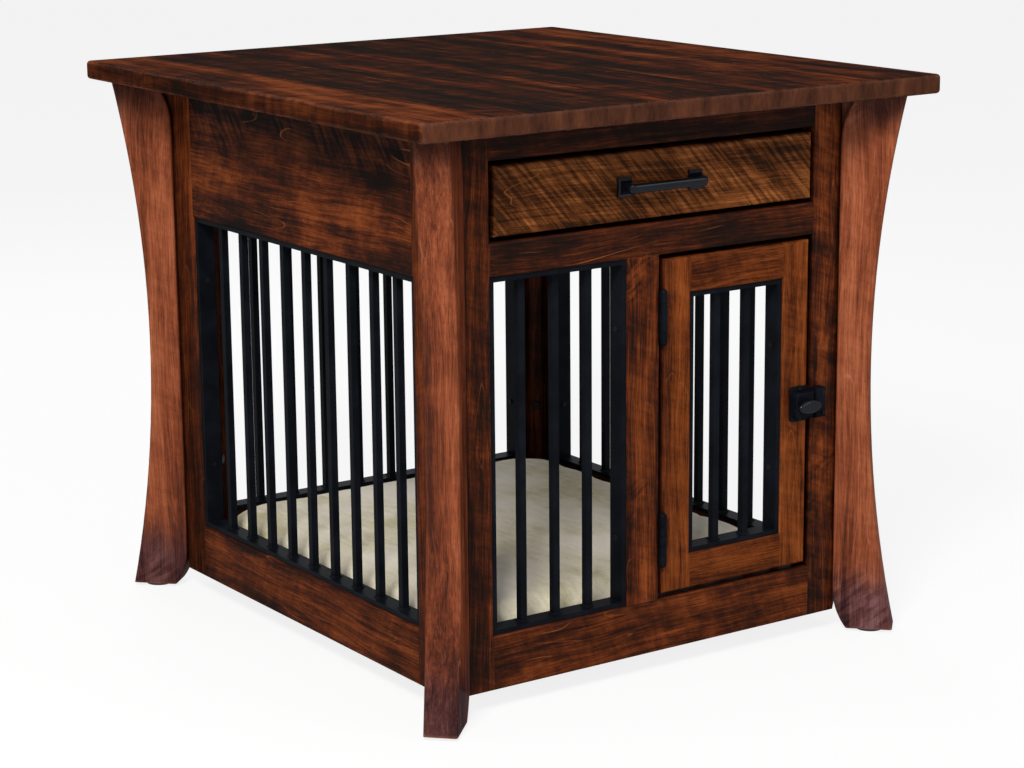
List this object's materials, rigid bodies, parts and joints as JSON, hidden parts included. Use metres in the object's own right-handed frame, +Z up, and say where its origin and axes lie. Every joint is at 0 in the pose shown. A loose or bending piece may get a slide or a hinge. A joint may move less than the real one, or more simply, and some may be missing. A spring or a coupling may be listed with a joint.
{
  "type": "dog crate end table",
  "caption": "End table built round a dog crate: framed wood case with barred metal panels, splayed curved corner legs, a drawer, a hinged barred door with a turn latch and a cushion.",
  "frame": {"origin": "floor point under the centre of the table top", "axes": "+Z up, the front with the drawer and the door faces -Y, +X to the right seen from the front"},
  "size_m": [0.8068, 0.8802, 0.762],
  "materials": {
    "top_wood": "dark reddish brown stain under semi-gloss lacquer",
    "case_wood": "dark reddish brown stain under semi-gloss lacquer",
    "leg_wood": "reddish brown stain under semi-gloss lacquer",
    "drawer_box_wood": "clear satin",
    "black_metal": "black satin powder coat",
    "black_screws": "black oxide",
    "zinc_steel": "zinc plated",
    "glide_plastic": "matte",
    "cushion_cloth": "soft short pile"
  },
  "bodies": {
    "case": {"cage_front": "black_metal", "cage_left": "black_metal", "cage_rear": "black_metal", "cage_right": "black_metal", "case_screws": "black_screws", "ceiling_panel": "case_wood", "corner_posts": "case_wood", "cushion": "cushion_cloth", "door_stop": "case_wood", "drawer_runners": "drawer_box_wood", "drawer_slide_rails": "zinc_steel", "floor_panel": "case_wood", "front_bottom_rail": "case_wood", "front_drawer_rail": "case_wood", "front_mullion": "case_wood", "front_stile_left": "case_wood", "front_stile_right": "case_wood", "front_top_rail": "case_wood", "hinge_case_leaves": "black_metal", "hinge_pins": "black_metal", "latch_strike": "black_metal", "left_apron": "case_wood", "left_bottom_rail": "case_wood", "left_stile_front": "case_wood", "left_stile_rear": "case_wood", "leg_bolts": "black_screws", "leg_front_left": "leg_wood", "leg_front_right": "leg_wood", "leg_glides": "glide_plastic", "leg_rear_left": "leg_wood", "leg_rear_right": "leg_wood", "panel_cleats": "case_wood", "rear_apron": "case_wood", "rear_bottom_rail": "case_wood", "rear_stile_left": "case_wood", "rear_stile_right": "case_wood", "right_apron": "case_wood", "right_bottom_rail": "case_wood", "right_stile_front": "case_wood", "right_stile_rear": "case_wood", "table_top": "top_wood"},
    "drawer": {"drawer_front": "case_wood", "drawer_side_left": "drawer_box_wood", "drawer_side_right": "drawer_box_wood", "drawer_back": "drawer_box_wood", "drawer_bottom": "drawer_box_wood", "drawer_pull": "black_metal", "drawer_pull_screws": "black_screws", "drawer_slide_members": "zinc_steel"},
    "door": {"door_stile_hinge": "case_wood", "door_stile_latch": "case_wood", "door_rail_top": "case_wood", "door_rail_bottom": "case_wood", "cage_door": "black_metal", "door_screws": "black_screws", "hinge_door_leaves": "black_metal", "latch_housing": "black_metal"},
    "latch_knob": {"latch_knob": "black_metal"},
    "latch_bolt": {"latch_bolt": "zinc_steel"}
  },
  "joints": [
    {"name": "drawer_slide", "type": "slide", "parent": "case", "child": "drawer", "axis": [0, -1, 0], "range_m": [0, 0.38]},
    {"name": "door_hinge", "type": "hinge", "parent": "case", "child": "door", "pos_m": [0.0051, -0.3628, 0.3263], "axis": [0, 0, -1], "range_deg": [0, 110]},
    {"name": "latch_turn", "type": "hinge", "parent": "door", "child": "latch_knob", "pos_m": [0.2346, -0.374, 0.328], "axis": [0, 1, 0], "range_deg": [0, 90]},
    {"name": "latch_throw", "type": "slide", "parent": "door", "child": "latch_bolt", "axis": [1, 0, 0], "range_m": [0, 0.009]}
  ],
  "couplings": [
    {"joint": "latch_throw", "follows": "latch_turn", "m_per_rad": 0.0057295}
  ]
}
